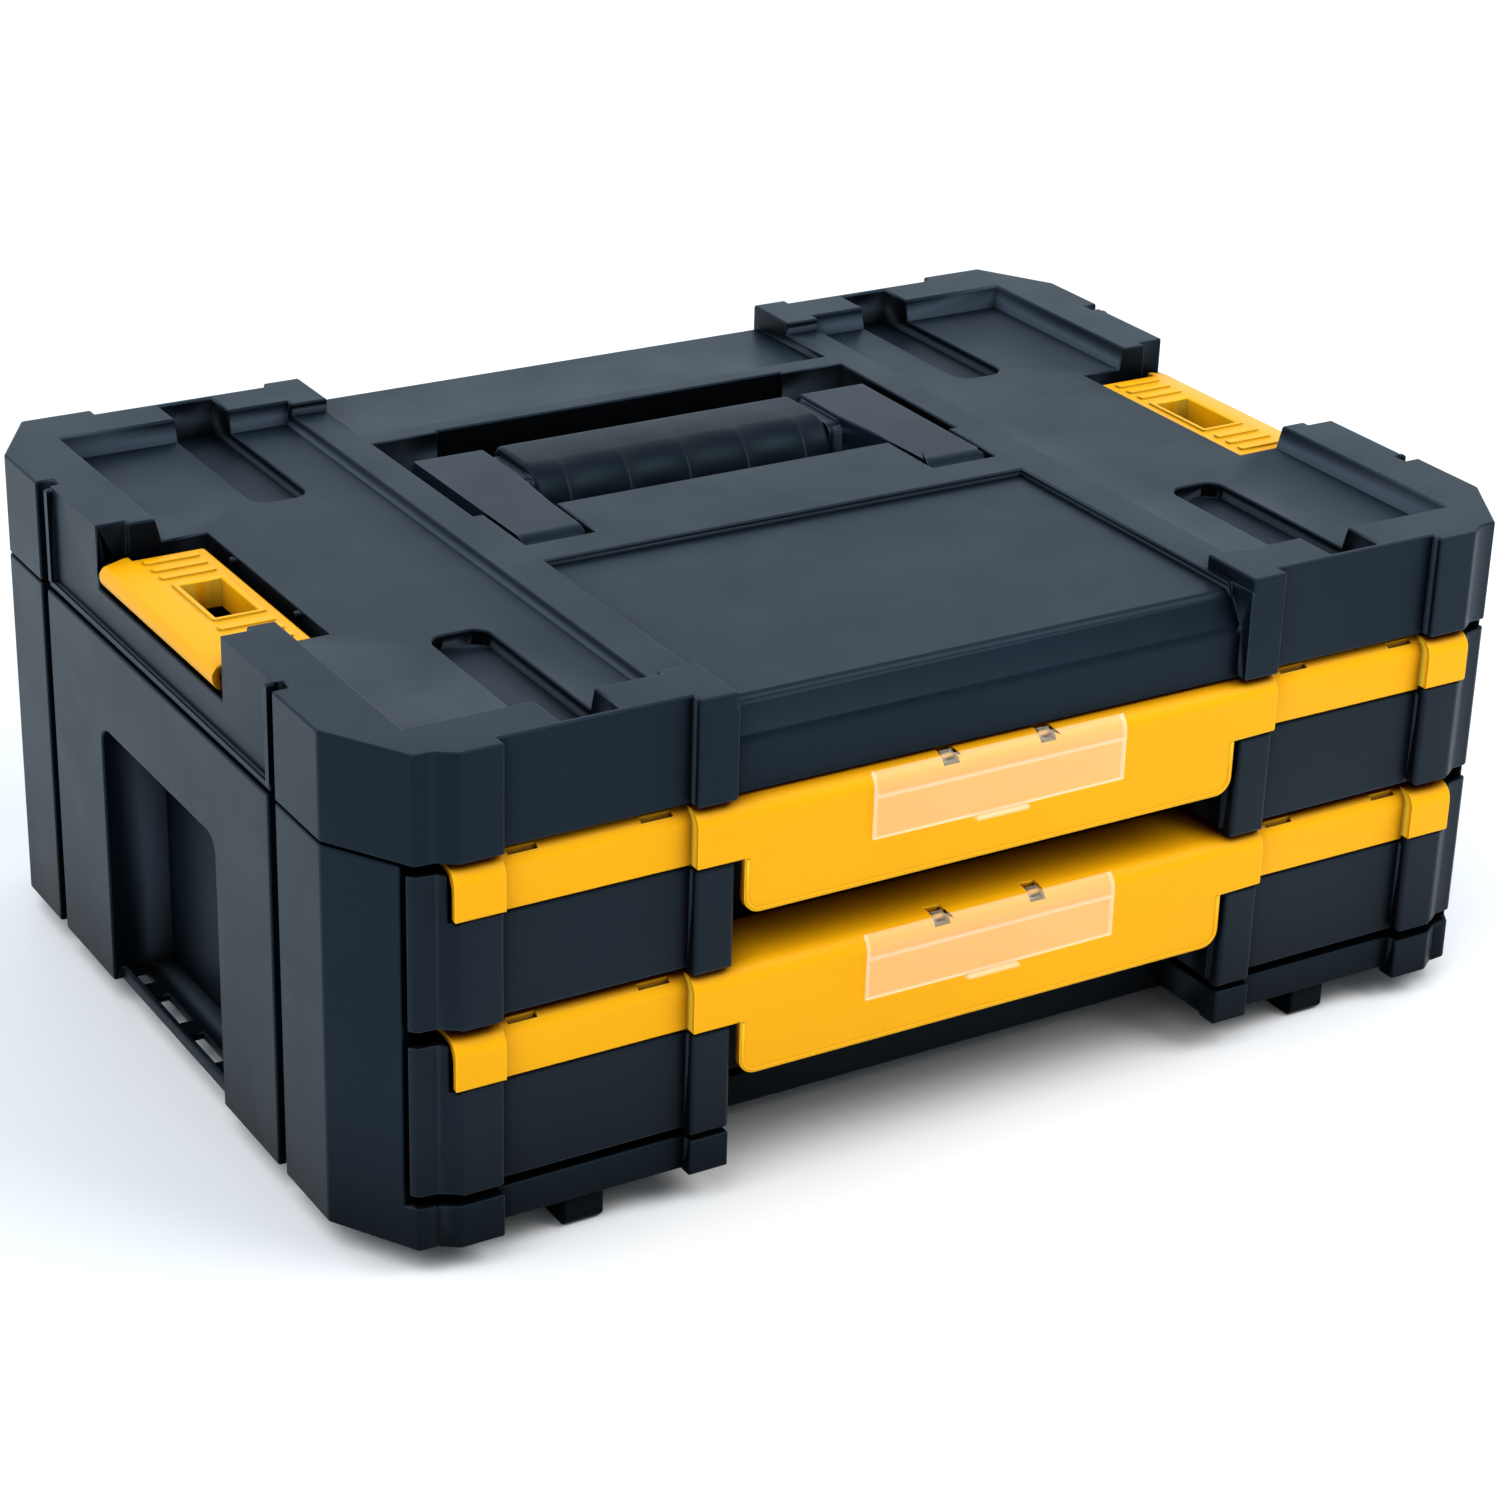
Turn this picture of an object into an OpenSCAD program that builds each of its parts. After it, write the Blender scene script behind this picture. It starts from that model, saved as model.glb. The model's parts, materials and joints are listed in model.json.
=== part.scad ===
// Stackable tool box with two shallow drawers, a folding carry handle in the lid
// and two side latches that hook the next box of the stack.
// Frame: X to the right, Y to the back, Z up; origin on the floor under the box's centre.
// Millimetres throughout.

/* [Box] */
// Overall width
box_w = 440; // [400:1:460]
// Overall depth, from the front posts to the rear posts
box_d = 318; // [312:1:326]
// Overall height, from the feet to the lid's rim
box_h = 176; // [174:1:180]
// Height of the seam between the lid and the case
seam_z = 140; // [140:1:142]
// Thickness of the moulded walls
wall = 3; // [2.6:0.1:3.2]
// How far the posts stand proud of the front and rear panels
post_proud = 4.5; // [3:0.5:5]

/* [Drawers] */
// Height step from the lower drawer to the upper one
drawer_pitch = 57; // [56:0.5:57.5]
// Half width of a drawer's tub
tub_half_w = 181.5; // [175:0.5:181.5]
// Wall thickness of a drawer's tub
tub_wall = 2.2; // [1.8:0.1:2.6]

/* [Handle] */
// Half length of the grip between the arms
grip_half = 60; // [55:1:61]
// Radius of the handle's hinge pins
handle_pin_r = 3; // [2.5:0.25:3.5]

/* [Latches] */
// Half length of a side latch
latch_half = 42.5; // [38:0.5:44]
// Radius of a latch's hinge pin
latch_pin_r = 2; // [1.5:0.25:2.25]

/* [Fits] */
// Gap between fixed parts that meet
fit = 0.1; // [0.05:0.05:0.2]
// Radial running clearance of a pin in its bore
running = 0.05; // [0.02:0.01:0.1]

/* [Hidden] */
half_w = box_w / 2;
post_y = box_d / 2;              // front and rear post faces, plus or minus
panel_y = post_y - post_proud;   // front and rear panel faces
side_mid_y = 2;                  // centre of the side recess, latches and grooves
case_bottom = 9;                 // lower edge of the side walls
tray_z = 12;                     // underside of the base plate
rail_top = 24;                   // top of the base's front rail
post_foot_z = 11.5;              // lower end of the inner posts' feet

// Plan outline, shared by the lid, the drawers' fronts and the base
post_in = [96.5, 110.5];         // inner posts, distance from the middle
post_out = [175.5, 190.5];       // corner posts, distance from the middle
bevel_x = 196.5;                 // where the corner post's bevel ends
chamfer_x = 203;                 // where the corner chamfer meets the front
chamfer_y = [-126, 130];         // where the corner chamfers meet the sides
rear_post_in = [97, 111];
rear_post_out = 177;
groove = [5.5, 4.5];             // width and depth of the grooves in the sides
groove_y = [side_mid_y - 93.5, side_mid_y + 95]; // middle of each groove
lid_inset = 3;                   // set-back of the lid's side between the grooves
ridge_w = 2.6;                   // ridges along the grooves
edge_gap = 0.155;                // start of the side wall, as a share of the corner chamfer

// Lid levels
floor_z = box_h - 8;             // side trays
frame_z = box_h - 4.5;           // frame round the handle
plate_z = box_h - 7;             // blank name panel
strip_z = box_h - 8.5;           // strip behind the frame
slot_z = box_h - 13;             // stacking slots
frame_x = [97, 112.6];           // inner and outer foot of the frame's side bars
slot_x = [134, 154];             // stacking slots, across
tray_y = [-133.5, 134.5];        // front and rear foot of the side trays
tray_x = 195;                    // outer foot of the side trays
lean = 2.5;                      // slope of the tray walls over their height

// Handle recess in the lid
pan_y = [-15, 94.5];               // front and rear ends
pan_step_y = 16;                 // where the recess widens
pan_x = [94, 97.3];              // half widths before and after the step
jog = [71.5, 1.4];               // half width and depth of the step in its rear wall
bridge_x = 67.2;                 // half width of the bridge between the arms
bridge_y = 14;                   // rear edge of the bridge
pan_z = box_h - 32;              // floor under the grip
arm_pan_z = box_h - 20.5;        // floor under the arms
hinge_y = -5.5;                  // handle hinge axis
hinge_z = box_h - 12;
arm_r = 7.5;                     // half thickness of an arm
arm_x = [65.3, 92.5];            // inner face at the grip, outer face
arm_hinge_x = 69.3;              // inner face at the hinge
arm_end_y = 74;
grip_y = [37, 74.5];
core_y = [46, 64];               // bar inside the grip
core_z = [box_h - 17.5, box_h - 8];

// Latches
latch_x = 213;                   // hinge axis, distance from the middle
latch_z = box_h - 16;
latch_r = 5.2;                   // barrel radius, and height of the plate over the axis
latch_top = latch_z + latch_r;
barrel_x = latch_x - latch_r;
barrel_half = 46.5;
latch_in = 182;                  // free edge
latch_window_x = [188.5, 203];
rib_h = 0.8;
latch_bay_x = 179;
latch_bay_half = 48;
latch_gap_half = 51;
latch_bay_z = box_h - 25;
latch_ledge_z = box_h - 22;

// Side recess and its slotted rail
recess_half = 47.5;
recess_z = [12, 106];
recess_x = 198;
recess_wall = 2.5;
rung_y = [[5, 25], [35.5, 46]];   // slots of its rail, from and to, on each side of its centre

// Feet, which sit in the slots of the box below
foot_x = [137, 151];
foot_y = [72, 151.3];

// Drawer parts, for the upper drawer
front_z = 82.5;                  // lower end of the inner posts
end_z = [85.2, 136.8];           // ends beyond the corner posts, from and to
end_strip_z = 121.2;             // lower edge of the strip over a corner post
front_panel_z = 84.4;            // lower edge between the posts
front_end = 0.105;               // outer end of a drawer's front, as a share of the corner chamfer
fascia_z = [119.4, 138.8];       // strip
fascia_end_x = 192.5;
fascia_wall = 2.6;
fascia_round = 6;                // radius of the strip's upper front edge
fascia_lift = 0.6;               // how far the strip stands proud of the black front
pull_z = 100.6;                  // lower edge of the pull
pull_x = 93.8;
recess_y = -129;                 // rear wall of the finger gap
tub_z = [85, 134];
tub_rear_y = 140;
tub_front_z = fascia_z[1] - 2.6; // the fascia's flange rests here
divider_x = 60;
divider_y = 12;
divider_t = 1.8;
divider_top = 126;
guide_h = 1.2;                   // how far the dividers' guides stand out from the walls

// Label window
window_x = 48;
window_z = [116.2, 132];
window_t = 1.2;
clip_x = 18.5;
clip_pin = [-154.9, 136.3];      // Y and Z of the clips' pivot
clip_pin_r = 1;

// Ball slides
slide_z = 108;                   // height of the upper pair
slide_y = [-122, 138];
slide_half_h = 13;
slide_t = 1.2;                   // sheet thickness
slide_out_x = 195.4;             // back of the outer channel
slide_in_x = 182;                // face of the inner channel, against the tub
slide_step = 5;                  // height from the inner channel's flange to the outer one's
cage_x = [186.5, 193.7];
cage_y = [-20, 40];
cage_half_h = slide_half_h - (slide_step + slide_t) / 2;
ball_r = (slide_step - slide_t) / 2 - 0.1;

$fn = 48;

// ---------------------------------------------------------------- helpers

// Points along an arc
function arc(x, y, r, from, to, n = 8) =
    [for (i = [0:n]) [x + r * cos(from + (to - from) * i / n),
                      y + r * sin(from + (to - from) * i / n)]];

// Corner points of a rectangle with round corners
function round_box(x0, y0, x1, y1, r) = concat(
    arc(x1 - r, y1 - r, r, 0, 90), arc(x0 + r, y1 - r, r, 90, 180),
    arc(x0 + r, y0 + r, r, 180, 270), arc(x1 - r, y0 + r, r, 270, 360));

// The same points in reverse order and mirrored in X
function mirrored(points) =
    [for (i = [len(points) - 1:-1:0]) [-points[i][0], points[i][1]]];

// Box between two corners
module block(low, high) translate(low) cube(high - low);

// Plan outline raised from z0 to z1
module plan(points, z0, z1) translate([0, 0, z0]) linear_extrude(z1 - z0) polygon(points);

// Profile of Y and Z points, run along X
module along_x(points, x0, x1)
    translate([x0, 0, 0]) rotate([90, 0, 90]) linear_extrude(x1 - x0) polygon(points);

// Profile of X and Z points, run along Y
module along_y(points, y0, y1)
    translate([0, y1, 0]) rotate([90, 0, 0]) linear_extrude(y1 - y0) polygon(points);

// Round bar along X, along Y or along Z, from one end to the other
module bar_x(r, y, z, x0, x1) translate([x0, y, z]) rotate([0, 90, 0]) cylinder(r = r, h = x1 - x0);
module bar_y(r, x, z, y0, y1) translate([x, y0, z]) rotate([-90, 0, 0]) cylinder(r = r, h = y1 - y0);
module bar_z(r, x, y, z0, z1) translate([x, y, z0]) cylinder(r = r, h = z1 - z0);

// Children as drawn and mirrored to the other side
module both_sides() {
    children();
    mirror([1, 0, 0]) children();
}

module left_hand() mirror([1, 0, 0]) children();

// ---------------------------------------------------------------- outlines

// Front edge of the right half, from the middle to the corner
front_edge = [
    [post_in[0], -panel_y], [post_in[0], -post_y], [post_in[1], -post_y], [post_in[1], -panel_y],
    [post_out[0], -panel_y], [post_out[0], -post_y], [post_out[1], -post_y], [bevel_x, -panel_y - 0.5]];

// Point on the corner chamfer, a share t of the way to the side and d millimetres inside it
chamfer_len = norm([half_w - chamfer_x, chamfer_y[0] + panel_y]);
chamfer_dir = [half_w - chamfer_x, chamfer_y[0] + panel_y] / chamfer_len;
function on_chamfer(t, d) = [chamfer_x, -panel_y] + chamfer_dir * chamfer_len * t
    + [-chamfer_dir[1], chamfer_dir[0]] * d;

// Rear edge of the right half, from the corner to the middle
rear_edge = [
    [chamfer_x, post_y], [rear_post_out, post_y], [rear_post_out, panel_y],
    [rear_post_in[1], panel_y], [rear_post_in[1], post_y - 1],
    [rear_post_in[0], post_y - 1], [rear_post_in[0], panel_y]];

// Side edge from front to rear, with its two grooves; the middle is set back by inset
function side_edge(inset = 0) = [
    [chamfer_x, -panel_y], [half_w, chamfer_y[0]],
    for (i = [0, 1]) each side_groove(groove_y[i], i == 0 ? 0 : inset, i == 0 ? inset : 0),
    [half_w, chamfer_y[1]]];

function side_groove(y, before, after) = [
    [half_w - before, y - groove[0] / 2], [half_w - groove[1] - lid_inset / 2, y - groove[0] / 2],
    [half_w - groove[1] - lid_inset / 2, y + groove[0] / 2], [half_w - after, y + groove[0] / 2]];

function lid_half(inset) = concat(front_edge, side_edge(inset), rear_edge);
function lid_outline(inset) = concat(lid_half(inset), mirrored(lid_half(inset)));

// Inside of the outline: plain faces one wall behind the outer ones
inner_half = [
    [100, -panel_y + wall], [chamfer_x - wall, -panel_y + wall],
    [half_w - groove[1] - lid_inset / 2 - wall, chamfer_y[0] + 4],
    [half_w - groove[1] - lid_inset / 2 - wall, chamfer_y[1] - 4],
    [chamfer_x - wall, panel_y - wall], [100, panel_y - wall]];
inner_outline = concat(inner_half, mirrored(inner_half));

// ---------------------------------------------------------------- lid

module lid_shell() difference() {
    union() {
        plan(lid_outline(1), seam_z, seam_z + 2.5);
        plan(lid_outline(lid_inset), seam_z + 2.4, box_h);
        both_sides() groove_ridges();
    }
    both_sides() {
        side_tray();
        for (end = [-1, 1]) stacking_slot(end);
        latch_bay(0);
        arm_pan(0);
        bar_x(handle_pin_r + running, hinge_y, hinge_z, bridge_x - wall, pan_x[0] + wall);
        bar_y(latch_pin_r + running, latch_x, latch_z,
            side_mid_y - latch_gap_half - 4, side_mid_y + latch_gap_half + 4);
    }
    centre_levels();
    grip_pan(0);
    lid_hollow();
    both_sides() lid_screw_places() bar_z(1.95, 0, 0, seam_z - 1, seam_z + 9);
}

// Ridges along the grooves, on the set-back part of the lid's side
module groove_ridges()
    for (i = [0, 1]) {
        side = i == 0 ? 1 : -1;
        foot = groove_y[i] + side * groove[0] / 2;
        block([half_w - groove[1] - lid_inset, min(foot, foot + side * ridge_w), seam_z + 2],
            [half_w - 0.7, max(foot, foot + side * ridge_w), box_h - 0.6]);
    }

// Lid with the nubs that the latches snap past
module lid() color("#2e3943") {
    lid_shell();
    both_sides() for (end = [-1, 1])
        block([latch_bay_x - 0.5, side_mid_y + end * 25.5 - 1.5, floor_z - 3],
            [latch_bay_x + 1.8, side_mid_y + end * 25.5 + 1.5, floor_z - 0.8]);
}

// Shallow tray beside the handle frame
module side_tray() intersection() {
    along_y([[frame_x[1], floor_z], [frame_x[1] - 1.6, frame_z], [frame_x[1] - 1.6, box_h + 1],
        [tray_x + lean, box_h + 1], [tray_x, floor_z]], -post_y, post_y);
    along_x([[tray_y[0], floor_z], [tray_y[0] - lean, box_h + 1],
        [tray_y[1] + lean, box_h + 1], [tray_y[1], floor_z]], 0, half_w);
}

// Slot for a foot of the box above; end is -1 at the front and 1 at the rear
module stacking_slot(end) {
    inner = side_mid_y + end * 65;
    outer = end * (panel_y - 2.5);
    low = min(inner, outer + end * 8);
    high = max(inner, outer + end * 8);
    difference() {
        plan(round_box(slot_x[0], low, slot_x[1], high, 6), slot_z, box_h + 1);
        block([0, min(outer, outer + end * 20), 0], [half_w, max(outer, outer + end * 20), box_h + 2]);
    }
}

// Open bay in the lid's side in which a latch lies; grow makes the wall round it
module latch_bay(grow) {
    block([latch_bay_x - grow, side_mid_y - latch_bay_half - grow, latch_bay_z - grow],
        [latch_x + 1, side_mid_y + latch_bay_half + grow, box_h + 1]);
    block([latch_x - 6 - grow, side_mid_y - latch_gap_half - grow, latch_ledge_z - grow],
        [half_w + 1, side_mid_y + latch_gap_half + grow, box_h + 1]);
}

// Lower levels of the middle: frame, blank name panel with its sloping front, rear strip
module centre_levels() {
    block([-frame_x[0], -post_y - 1, frame_z], [frame_x[0], post_y + 1, box_h + 1]);
    block([-frame_x[1], tray_y[0], frame_z], [frame_x[1], tray_y[1] - 2, box_h + 1]);
    block([-94.5, -panel_y + 6, plate_z], [94.5, -30, box_h]);
    along_x([[-panel_y + 6.2, plate_z], [-panel_y - 0.01, plate_z - 12], [-post_y - 1, plate_z - 12],
        [-post_y - 1, box_h], [-panel_y + 6.2, box_h]], -post_in[0], post_in[0]);
    block([-frame_x[0], pan_y[1] + 10, strip_z], [frame_x[0], post_y + 1, box_h + 1]);
}

// Pocket for one arm of the handle
module arm_pan(grow) {
    block([bridge_x - grow, pan_y[0] - grow, arm_pan_z - grow],
        [pan_x[0] + grow, pan_step_y + 1, box_h]);
    block([bridge_x - grow, pan_step_y, arm_pan_z - grow],
        [pan_x[1] + grow, pan_y[1] + grow, box_h]);
}

// Pocket under and behind the grip, where the fingers go
module grip_pan(grow) {
    block([-bridge_x - 0.1 - grow, bridge_y - grow, pan_z - grow],
        [bridge_x + 0.1 + grow, pan_y[1] + grow, box_h]);
    block([-jog[0] - grow, pan_y[1] - 1, arm_pan_z - grow],
        [jog[0] + grow, pan_y[1] + jog[1] + grow, box_h]);
}

// Hollow under the lid, which leaves one wall round every pocket
module lid_hollow() difference() {
    plan(inner_outline, seam_z - 1, strip_z - wall);
    both_sides() {
        latch_bay(wall);
        arm_pan(wall);
        for (end = [-1, 1])
            block([slot_x[0] - wall, end > 0 ? 64 : -post_y, slot_z - wall],
                [slot_x[1] + wall, end > 0 ? post_y : -60, box_h]);
        lid_screw_places() bar_z(4.5, 0, 0, seam_z - 2, box_h);
    }
    grip_pan(wall);
    block([-post_in[1], -post_y, seam_z + 12], [post_in[1], -panel_y + 8, box_h]);
}

module lid_screw_places()
    for (y = [-112, 116]) translate([205, y, 0]) children();

module lid_screws() color("silver") both_sides() lid_screw_places() {
    bar_z(1.9, 0, 0, seam_z - 9, seam_z + 8);
    bar_z(3.6, 0, 0, seam_z - 11, seam_z - 9);
}

// ---------------------------------------------------------------- case

module left_side() color("#2e3943") left_hand() side_panel();
module right_side() color("#2e3943") side_panel();

// Right-hand side wall with its grooves, recess, slotted rail and slide pillars
module side_panel() {
    difference() {
        union() {
            intersection() {
                difference() {
                    plan(lid_outline(0), case_bottom, seam_z - 0.8);
                    plan(inner_outline, case_bottom - 1, seam_z);
                }
                side_zone();
            }
            // lip that carries the lid
            intersection() {
                difference() {
                    plan(inner_lip(0), seam_z - 6, seam_z);
                    plan(inner_lip(wall), seam_z - 7, seam_z + 1);
                }
                side_zone();
            }
            corner_foot();
            recess_box(recess_wall);
            slide_pillars();
            screw_bosses();
        }
        recess_box(0);
        both_sides() base_screw_places() bar_z(1.95, 0, 0, 0, rail_top + 8);
        lid_screw_places() bar_z(2.1, 0, 0, seam_z - 12, seam_z + 1);
    }
    slotted_rail();
}

// Where the side wall ends against the drawers and the rear wall
module side_zone()
    plan([on_chamfer(edge_gap, -1), [half_w + 1, -panel_y + 3], [half_w + 1, post_y + 1],
        [chamfer_x, post_y + 1], [chamfer_x, panel_y - wall - 1], [190, panel_y - wall - 1],
        [193.5, -panel_y + 14], on_chamfer(edge_gap, 6)], 0, box_h);

// Foot of the side wall round the front corner, beside the base's rail
module corner_foot()
    plan([[bevel_x + fit, -panel_y - 0.5], [chamfer_x, -panel_y], on_chamfer(edge_gap + 0.1, 0),
        on_chamfer(edge_gap + 0.1, wall), on_chamfer(0.04, wall), [bevel_x + fit, -panel_y + wall]],
        case_bottom, rail_top);

// Outline of the lip under the lid, one wall inside the case's face
function inner_lip(inset) = [
    [190, -panel_y + 8], [chamfer_x - 3 - inset, -panel_y + 4 + inset],
    [half_w - 8 - inset, chamfer_y[0] + 4], [half_w - 8 - inset, chamfer_y[1] - 4],
    [chamfer_x - 3 - inset, panel_y - 4 - inset], [190, panel_y - 4 - inset]];

// The recess that gives room for the hook of the box below; grow makes its walls
module recess_box(grow) {
    bottom = grow > 0 ? case_bottom : 0;
    along_x(concat(
        [[side_mid_y - recess_half - grow, bottom], [side_mid_y + recess_half + grow, bottom]],
        arc(side_mid_y + recess_half + grow - 6, recess_z[1] + grow - 6, 6, 0, 90),
        arc(side_mid_y - recess_half - grow + 6, recess_z[1] + grow - 6, 6, 90, 180)),
        recess_x - grow, grow > 0 ? half_w - 1 : half_w + 1);
}

// Rail with slots along the foot of the recess
module slotted_rail() difference() {
    union() {
        block([recess_x, side_mid_y - recess_half, case_bottom],
            [half_w - 3, side_mid_y + recess_half, case_bottom + 3]);
        block([half_w - 5.5, side_mid_y - recess_half, case_bottom],
            [half_w - 3, side_mid_y + recess_half, case_bottom + 4.5]);
    }
    for (end = [-1, 1], y = rung_y)
        block([half_w - 10.8, side_mid_y + min(end * y[0], end * y[1]), 0],
            [half_w - 6.2, side_mid_y + max(end * y[0], end * y[1]), 20]);
}

// Ribs that carry the ball slides
module slide_pillars()
    for (y = [-90, 94])
        block([slide_out_x + fit, y - 2, tray_z + wall + 1], [half_w - wall - 5, y + 2, seam_z - 6]);

module base_screw_places()
    for (y = [-100, 104]) translate([205.5, y, 0]) children();

module screw_bosses() {
    base_screw_places() {
        bar_z(4.5, 0, 0, tray_z + wall + fit, rail_top + 8);
        block([2, -1.5, tray_z + wall + fit], [6.5, 1.5, rail_top + 8]);
    }
    lid_screw_places() bar_z(5, 0, 0, seam_z - 9, seam_z - fit);
}

// Panel across the back, with posts that match the lid
module rear_wall() color("#2e3943") {
    intersection() {
        difference() {
            plan(lid_outline(0), case_bottom, seam_z - 0.8);
            plan(inner_outline, case_bottom - 1, seam_z);
        }
        block([-chamfer_x + fit, panel_y - wall, 0], [chamfer_x - fit, post_y + 1, box_h]);
    }
    // stiffening ribs and the lip that carries the lid
    for (x = [-60, 0, 60])
        block([x - 1.25, panel_y - wall - 5, tray_z + 12], [x + 1.25, panel_y - wall, seam_z - 6]);
    block([-180, panel_y - wall - 3, seam_z - 6], [180, panel_y - wall, seam_z]);
}

// Bottom plate with the front rail, the feet and the screw holes
module base_tray() color("#2e3943") difference() {
    union() {
        plan(base_outline(), tray_z, tray_z + wall);
        both_sides() {
            front_rail();
            for (end = [-1, 1]) foot(end);
        }
        block([-post_in[0] - 2, recess_y, tray_z], [post_in[0] + 2, recess_y + wall, rail_top]);
        for (x = [-90:45:90])
            block([x - 1.25, recess_y, tray_z], [x + 1.25, panel_y - wall - 6, tray_z + 8]);
    }
    both_sides() {
        difference() {
            plan(rail_outline(wall), 0, rail_top - 2);
            block([foot_x[0], -foot_y[1], 0], [foot_x[1], recess_y, tray_z + wall]);
        }
        base_screw_places() {
            bar_z(2.1, 0, 0, 0, rail_top);
            bar_z(4.2, 0, 0, 0, tray_z + 1);
        }
    }
}

function base_half() = [
    [post_in[0], recess_y], [post_in[0], -panel_y + 1], [bevel_x, -panel_y + 1],
    [bevel_x, -panel_y + 5], [chamfer_x - 0.5, -panel_y + 11.5], [half_w - 9.6, chamfer_y[0] + 4],
    [half_w - 9.6, -50], [recess_x - recess_wall - fit, -50],
    [recess_x - recess_wall - fit, 54], [half_w - 9.6, 54], [half_w - 9.6, chamfer_y[1] - 4],
    [chamfer_x - 4, panel_y - wall - fit]];
function base_outline() = concat(base_half(), mirrored(base_half()));

// Rail in front of the lower drawer, with the feet of the posts
module front_rail() {
    plan(rail_outline(0), tray_z, rail_top);
    block([post_in[0], -post_y, post_foot_z], [post_in[1], -panel_y + 4, tray_z + 2]);
    block([post_out[0], -post_y, case_bottom], [post_out[1], -panel_y + 4, tray_z + 2]);
    plan([[post_out[1], -post_y], [bevel_x, -panel_y - 0.5], [bevel_x, -panel_y + 4],
        [post_out[1], -panel_y + 4]], case_bottom, tray_z + 2);
}

function rail_outline(inset) = concat(
    inset > 0 ? [[post_in[0] + inset, -panel_y + inset], [bevel_x - inset, -panel_y + inset]] : front_edge,
    [[bevel_x - inset, recess_y - inset], [post_in[0] + inset, recess_y - inset]]);

// Foot that drops into the slot of the box below
module foot(end) {
    inner = end * foot_y[0] - (end > 0 ? 0 : 4);
    outer = end * foot_y[1];
    along_x([[inner, tray_z], [inner + end * 3, 0], [outer - end * 2, 0], [outer, 2], [outer, tray_z]],
        foot_x[0], foot_x[1]);
}

module case_screws() color("silver") both_sides() base_screw_places() {
    bar_z(1.9, 0, 0, tray_z + 1, rail_top + 6);
    bar_z(4, 0, 0, tray_z - 1.4, tray_z + 1);
}

// ---------------------------------------------------------------- handle

// Two arms joined by the bar inside the grip
module handle_bail() color("#2b353f") {
    both_sides() difference() {
        intersection() {
            along_x(concat(arc(hinge_y, hinge_z, arm_r, 90, 270, 16),
                [[arm_end_y - 3, hinge_z - arm_r], [arm_end_y, hinge_z - arm_r + 3],
                [arm_end_y, hinge_z + arm_r - 2], [arm_end_y - 2, hinge_z + arm_r]]), arm_x[0], arm_x[1]);
            plan([[arm_hinge_x, hinge_y - 20], [arm_x[1] + 1, hinge_y - 20], [arm_x[1] + 1, arm_end_y + 1],
                [arm_x[0], arm_end_y + 1], [arm_x[0], core_y[0]], [arm_hinge_x - 1, bridge_y]], 0, box_h);
        }
        bar_x(handle_pin_r + running, hinge_y, hinge_z, arm_x[0] - 1, arm_x[1] + 1);
    }
    block([-arm_x[0] - 0.5, core_y[0], core_z[0]], [arm_x[0] + 0.5, core_y[1], core_z[1]]);
    // collars between the grip and the arms
    both_sides()
        along_x(round_box(grip_y[0] + 5, arm_pan_z + 0.6, grip_y[1] - 3.5, core_z[1] + 1.5, 4),
            grip_half + fit, arm_x[0] + 0.5);
}

// Grip moulded over the bar
module handle_grip() color("#27303a") difference() {
    along_x(concat(arc(grip_y[1] - 5, hinge_z + arm_r - 4.5, 5, 0, 90),
        arc(grip_y[0] + 9, hinge_z + arm_r - 8.5, 9, 90, 180),
        arc(grip_y[0] + 9, hinge_z - 4, 9, 180, 270), arc(grip_y[1] - 9, hinge_z - 4, 9, 270, 360)),
        -grip_half, grip_half);
    block([-grip_half - 1, core_y[0] - fit, core_z[0] - fit],
        [grip_half + 1, core_y[1] + fit, core_z[1] + fit]);
}

module handle_pin() bar_x(handle_pin_r, hinge_y, hinge_z, bridge_x - 2, pan_x[0] + 2);
module left_handle_pin() color("silver") left_hand() handle_pin();
module right_handle_pin() color("silver") handle_pin();

// ---------------------------------------------------------------- latches

// Latch plate with its barrel, window, hook and finger ribs
module latch() difference() {
    union() {
        along_y([[latch_in + 1, latch_top], [latch_in, latch_top - 1],
            [latch_in, latch_z - 5.5], [latch_in + 2.5, latch_z - 5.5], [latch_in + 4, latch_z + 1.5],
            [barrel_x - 1, latch_z + 1.5], [barrel_x + 1, latch_z], [barrel_x + 1, latch_top]],
            side_mid_y - latch_half, side_mid_y + latch_half);
        along_y(concat(arc(latch_x, latch_z, latch_r, 180, 375, 18),
            [[latch_x + 3.7, latch_z + 3.4], [barrel_x + 1.5, latch_top], [barrel_x, latch_top]]),
            side_mid_y - barrel_half, side_mid_y + barrel_half);
        // frame round the window
        difference() {
            block([latch_window_x[0] - 2, side_mid_y - 17, latch_z - 5],
                [latch_window_x[1] + 2, side_mid_y + 17, latch_top + rib_h]);
            latch_window();
        }
        for (end = [-1, 1], i = [0:2])
            block([187, side_mid_y + end * (23.5 + i * 7) - 1.6, latch_top - 1],
                [206, side_mid_y + end * (23.5 + i * 7) + 1.6, latch_top + rib_h]);
    }
    latch_window();
    bar_y(latch_pin_r + running, latch_x, latch_z,
        side_mid_y - barrel_half - 1, side_mid_y + barrel_half + 1);
}

module latch_window()
    block([latch_window_x[0], side_mid_y - 15, latch_z - 10], [latch_window_x[1], side_mid_y + 15, box_h]);

module left_latch() color("#fbb915") left_hand() latch();
module right_latch() color("#fbb915") latch();

module latch_pin() bar_y(latch_pin_r, latch_x, latch_z,
    side_mid_y - latch_gap_half - 3.5, side_mid_y + latch_gap_half + 3.5);
module left_latch_pin() color("silver") left_hand() latch_pin();
module right_latch_pin() color("silver") latch_pin();

// ---------------------------------------------------------------- drawers

module lower_place() translate([0, 0, -drawer_pitch]) children();

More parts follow.
